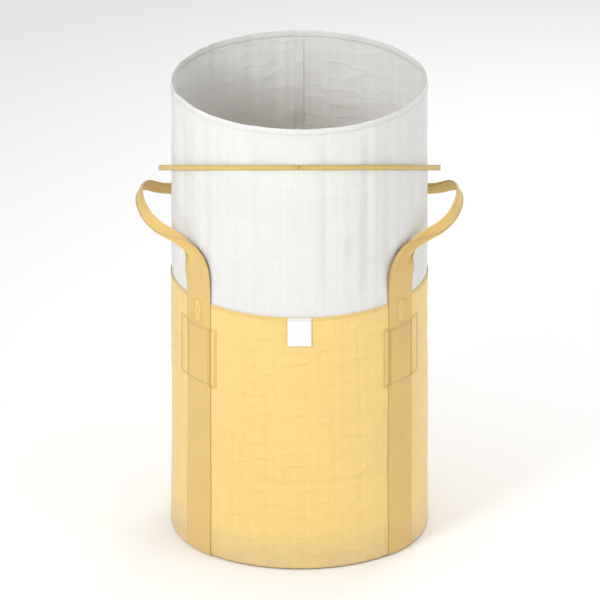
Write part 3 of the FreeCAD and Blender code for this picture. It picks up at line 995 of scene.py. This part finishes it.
def lifting_loop(side, name):
    """Loop at +X (side 1) or, turned half around, at -X (side -1), from its legs, which are sewn
    to the bag, over the part that swings."""
    middle, across, outward, folded, curve = loop_frames()
    turned = (side, side, 1)
    grid = []
    for i in range(len(middle)):
        a, b = fold_section(ACROSS_LOOP, folded[i], curve[i])
        grid.append(middle[i] + across[i] * a[:, None] + outward[i] * (b - 0.0003)[:, None])
    points = np.array(grid) * turned
    uv = np.stack(np.meshgrid(ACROSS_LOOP * BELT_W / 2, run_of(middle)), -1)
    obj = grid_object(name + "_loop_webbing", points[:, ::-1], uv[:, ::-1], WEBBING)
    thicken(obj, WEBBING_T, offset=0.0)
    nodes = [name + "_loop", name + "_loop_front_neck", name + "_loop_rear_neck"]
    body = name + "_lift_loop"
    stands_for(obj, nodes)
    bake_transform(obj)

    # two rows of stitches hold the folded grip, on both faces
    sewn = np.abs(middle[:, Y]) < SEWN_REACH
    paths = []
    for face in (1, -1):
        for row in (-GRIP_SEAM, GRIP_SEAM):
            line = middle[sewn] + across[sewn] * row + outward[sewn] * face * (LAYER + 0.0017)
            paths.append((line * turned, outward[sewn] * face * turned))
    stitches(name + "_loop_webbing_stitches", paths, body, THREAD)


lifting_loop(1, "right")
lifting_loop(-1, "left")

# ---- document label ----


def document_label():
    """White film leaf, its lower corners lifting a little, and the sewn strip it hangs from."""
    front = least("label", Y)
    width = np.linspace(-LABEL_HALF, LABEL_HALF, 33)
    x, z = np.meshgrid(width, np.linspace(LABEL_LOW, LABEL_TOP, 41))
    down = (LABEL_TOP - z) / (LABEL_TOP - LABEL_LOW)
    lift = (0.0035 * down ** 2 + 0.0030 * down ** 3 * (x / LABEL_HALF) ** 2
            + 0.0010 * np.sin(9 * down) * down)
    leaf = grid_object("label_leaf", np.stack([x, front + SKIN - lift, z], -1),
                       np.stack([x, z], -1), FILM)
    thicken(leaf, LEAF_T)
    stands_for(leaf, ["label"], "label_flap")

    x, z = np.meshgrid(width, np.linspace(LABEL_TOP - 0.0002, RIM - 0.0008, 7))
    strip = grid_object("label_strip", np.stack([x, front + SKIN + 0 * x, z], -1),
                        np.stack([x, z], -1), FILM)
    thicken(strip, STRIP_T)
    stands_for(strip, ["label_header"], "bag")
    line = np.linspace(-LABEL_HALF + 0.003, LABEL_HALF - 0.003, 60)
    rows = [(np.stack([line, 0 * line + front - 0.0001, 0 * line + LABEL_TOP + level], -1),
             np.tile((0, -1.0, 0), (len(line), 1))) for level in (0.004, 0.009)]
    stitches("label_stitches", rows, "bag", THREAD, height=0.0007, **FINE_STITCH)


document_label()

# ---- closing tie ----

TIE_R = R - 0.0005
TIE_REACH = R + 0.056
TIE_HEIGHT = 0.465      # above the rim, at the sides
TIE_BACK = TIE_HEIGHT - 0.036
TIE_FALL = math.tan(math.radians(23.1))
TIE_STEP = 26
TIE_CORNER_R = TIE_R / math.cos(math.radians(TIE_STEP / 2))


def on_skirt(azimuth, z):
    turn = math.radians(azimuth)
    return (TIE_CORNER_R * math.sin(turn), -TIE_CORNER_R * math.cos(turn), z)


def falling(x, y):
    return (x, y, TIE_HEIGHT - y * TIE_FALL)


def front_corner(azimuth):
    return falling(*on_skirt(azimuth, 0)[:2])


# half of the tie: sewn on at the front centre, slack at the side, sewn on again at the back
# centre, heights above the rim
TIE_ROUTE = [
    falling(0, -TIE_R),
    front_corner(0.5 * TIE_STEP),
    front_corner(1.5 * TIE_STEP),
    front_corner(2.35 * TIE_STEP),
    falling(0.930 * TIE_REACH, -0.215 * TIE_REACH),
    falling(TIE_REACH, -0.017 * TIE_REACH),
    falling(0.987 * TIE_REACH, 0.099 * TIE_REACH),
    falling(0.934 * TIE_REACH, 0.195 * TIE_REACH),
    on_skirt(115, TIE_HEIGHT - 0.101),
    on_skirt(141, TIE_HEIGHT - 0.076),
    on_skirt(167, TIE_HEIGHT - 0.040),
    (0, TIE_R, TIE_BACK),
]


def spline_points(name, route):
    """Points read along the NURBS spline that has the route as its control points."""
    curve = bpy.data.curves.new(name, "CURVE")
    curve.dimensions = "3D"
    curve.resolution_u = 16
    spline = curve.splines.new("NURBS")
    spline.points.add(len(route) - 1)
    for point, place in zip(spline.points, route):
        point.co = (*place, 1)
    spline.order_u = 3
    spline.use_endpoint_u = True
    holder = add_object(name, curve)
    bpy.context.view_layer.update()
    mesh = bpy.data.meshes.new_from_object(holder)
    points = np.array([v.co for v in mesh.vertices], float)
    bpy.data.objects.remove(holder)
    return points


def tape_section():
    """Rounded rectangle around the tape: outward, upward."""
    section = []
    for turn in np.linspace(0, 2 * math.pi, 25)[:-1]:
        c, s = math.cos(turn), math.sin(turn)
        section.append((math.copysign(abs(c) ** 0.25, c) * TIE_T / 2,
                        math.copysign(abs(s) ** 0.45, s) * TIE_W / 2))
    return section


def tie_half(side, name):
    """Flat tape along the route, mirrored for the left side, with closed ends."""
    route = [(side * x, y, RIM + z) for x, y, z in TIE_ROUTE]
    path = spline_points(name + "_route", route)
    along = unit(np.gradient(path, axis=0))
    up = unit(np.array([0, 0, 1.0]) - along * along[:, Z:])
    out = np.cross(along, up) * side
    run = run_of(path)
    lean = 0.10 * np.sin(run * 7) * smooth(0.1, 0.4, run) * smooth(0.1, 0.4, run[-1] - run)
    up = up * np.cos(lean)[:, None] + out * np.sin(lean)[:, None]
    out = np.cross(along, up) * side
    section = tape_section()
    points = np.array([[p + o * a + u * b for a, b in section] for p, o, u in zip(path, out, up)])
    uv = np.array([[(b, r) for _, b in section] for r in run])
    if side < 0:
        points, uv = points[:, ::-1], uv[:, ::-1]
    faces, face_uv = grid_faces(uv, around=True, flipped=True)
    cap(faces, face_uv, uv, 0, backward=False)
    cap(faces, face_uv, uv, len(path) - 1, backward=True)
    obj = mesh_object(name, points.reshape(-1, 3), faces, TIE_TAPE, face_uv)
    stands_for(obj, ["closing_" + name])
    fold_with_skirt(obj)


def tie_tacks():
    """Stitches that hold the tie to the skirt at the front and at the back centre."""
    paths = []
    for azimuth, level in ((0.0, TIE_HEIGHT + TIE_R * TIE_FALL), (math.pi, TIE_BACK)):
        heights = RIM + level - 0.010, RIM + level + 0.010
        for lines in (FRAME, CROSS):
            paths += box_paths(lines, azimuth, heights, 0.020 / R, 0.0,
                               lambda a, z: TIE_R + TIE_T / 2 + 0 * a, 20)
    fold_with_skirt(stitches("tie_stitches", paths, None, THREAD, height=0.0008, **FINE_STITCH))


tie_half(1, "tie_right")
tie_half(-1, "tie_left")
tie_tacks()

# ---- floor, light and camera ----

FAR = 14.0      # floor's edge
PAPER = (0.92, 0.92, 0.92, 1)
# place, power in watts and width of each soft light
LIGHTS = {
    "key": ((-3.2, -4.4, 4.0), 172, 1.8),
    "fill": ((4.6, -2.8, 2.6), 66, 2.6),
    "back": ((2.0, 4.6, 4.0), 90, 2.6),
    "top": ((0.0, 0.6, 6.5), 110, 4.5),
}
LIGHT_AIM = Vector((0, 0, 1.0))
SKY = 0.56
VIEW_WIDTH = 2.568
VIEW_TILT = math.radians(23.14)
VIEW_CENTRE = Vector((0.002, 0, 1.024))


def studio():
    """Pale floor, even sky and four soft lights."""
    paper = bpy.data.materials.new("pale_floor")
    paper.use_nodes = True
    set_inputs(paper.node_tree.nodes["Principled BSDF"], base_color=PAPER, roughness=0.9)
    corners = [(-FAR, -FAR, 0), (FAR, -FAR, 0), (FAR, FAR, 0), (-FAR, FAR, 0)]
    uv = [[corner[:2] for corner in corners]]
    mesh_object("floor", corners, [(0, 1, 2, 3)], paper, uv)

    world = bpy.data.worlds.new("studio")
    bpy.context.scene.world = world
    world.use_nodes = True
    set_inputs(world.node_tree.nodes["Background"], color=(1.0, 1.0, 1.0, 1), strength=SKY)

    for name, (place, power, width) in LIGHTS.items():
        light = bpy.data.lights.new(name, "AREA")
        light.energy = power
        light.size = width
        lamp = add_object(name, light)
        lamp.location = place
        lamp.rotation_euler = (LIGHT_AIM - Vector(place)).to_track_quat("-Z", "Y").to_euler()


def camera():
    """Parallel view from a little above, square to the front."""
    lens = bpy.data.cameras.new("camera")
    lens.type = "ORTHO"
    lens.ortho_scale = VIEW_WIDTH
    eye = add_object("camera", lens)
    eye.location = VIEW_CENTRE + Vector((0, -math.cos(VIEW_TILT), math.sin(VIEW_TILT))) * 8
    eye.rotation_euler = (math.pi / 2 - VIEW_TILT, 0, 0)
    bpy.context.scene.camera = eye


studio()
camera()
bpy.context.scene.view_settings.view_transform = "Standard"
